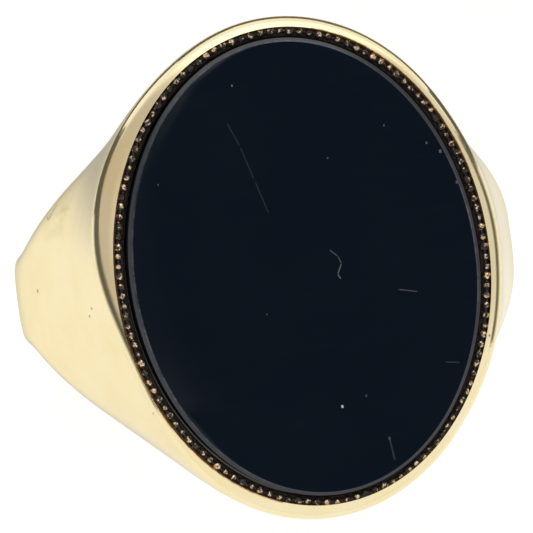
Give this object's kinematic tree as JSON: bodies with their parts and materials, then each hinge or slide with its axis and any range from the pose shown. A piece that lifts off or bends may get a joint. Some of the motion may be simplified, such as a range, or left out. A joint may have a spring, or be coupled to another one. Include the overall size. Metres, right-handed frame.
{
  "type": "signet ring",
  "caption": "Oval signet ring with a flat black onyx tablet in a milgrain bezel, broad shoulders and a tapering shank, worn on a finger.",
  "frame": {"origin": "centre of the finger hole, on its axis, half way across the band", "axes": "+Z out of the stone's face, +Y along the finger and along the long axis of the oval, +X across the finger"},
  "size_m": [0.0216, 0.02, 0.0227],
  "materials": {
    "gold": "polished pale yellow gold with fine wear scratches",
    "solder": "polished gold solder, slightly paler than the ring",
    "gold_setting": "gold darkened in the recesses, bright on the crowns of the beads",
    "cement": "dull hard jeweller's cement",
    "onyx": "polished flat table with faint scratches"
  },
  "bodies": {
    "root": {"head": "gold", "shank": "gold", "solder_seams": "solder", "bezel": "gold_setting", "milgrain_wire": "gold_setting", "bearing": "gold_setting", "cement_bed": "cement", "onyx": "onyx"}
  },
  "joints": []
}
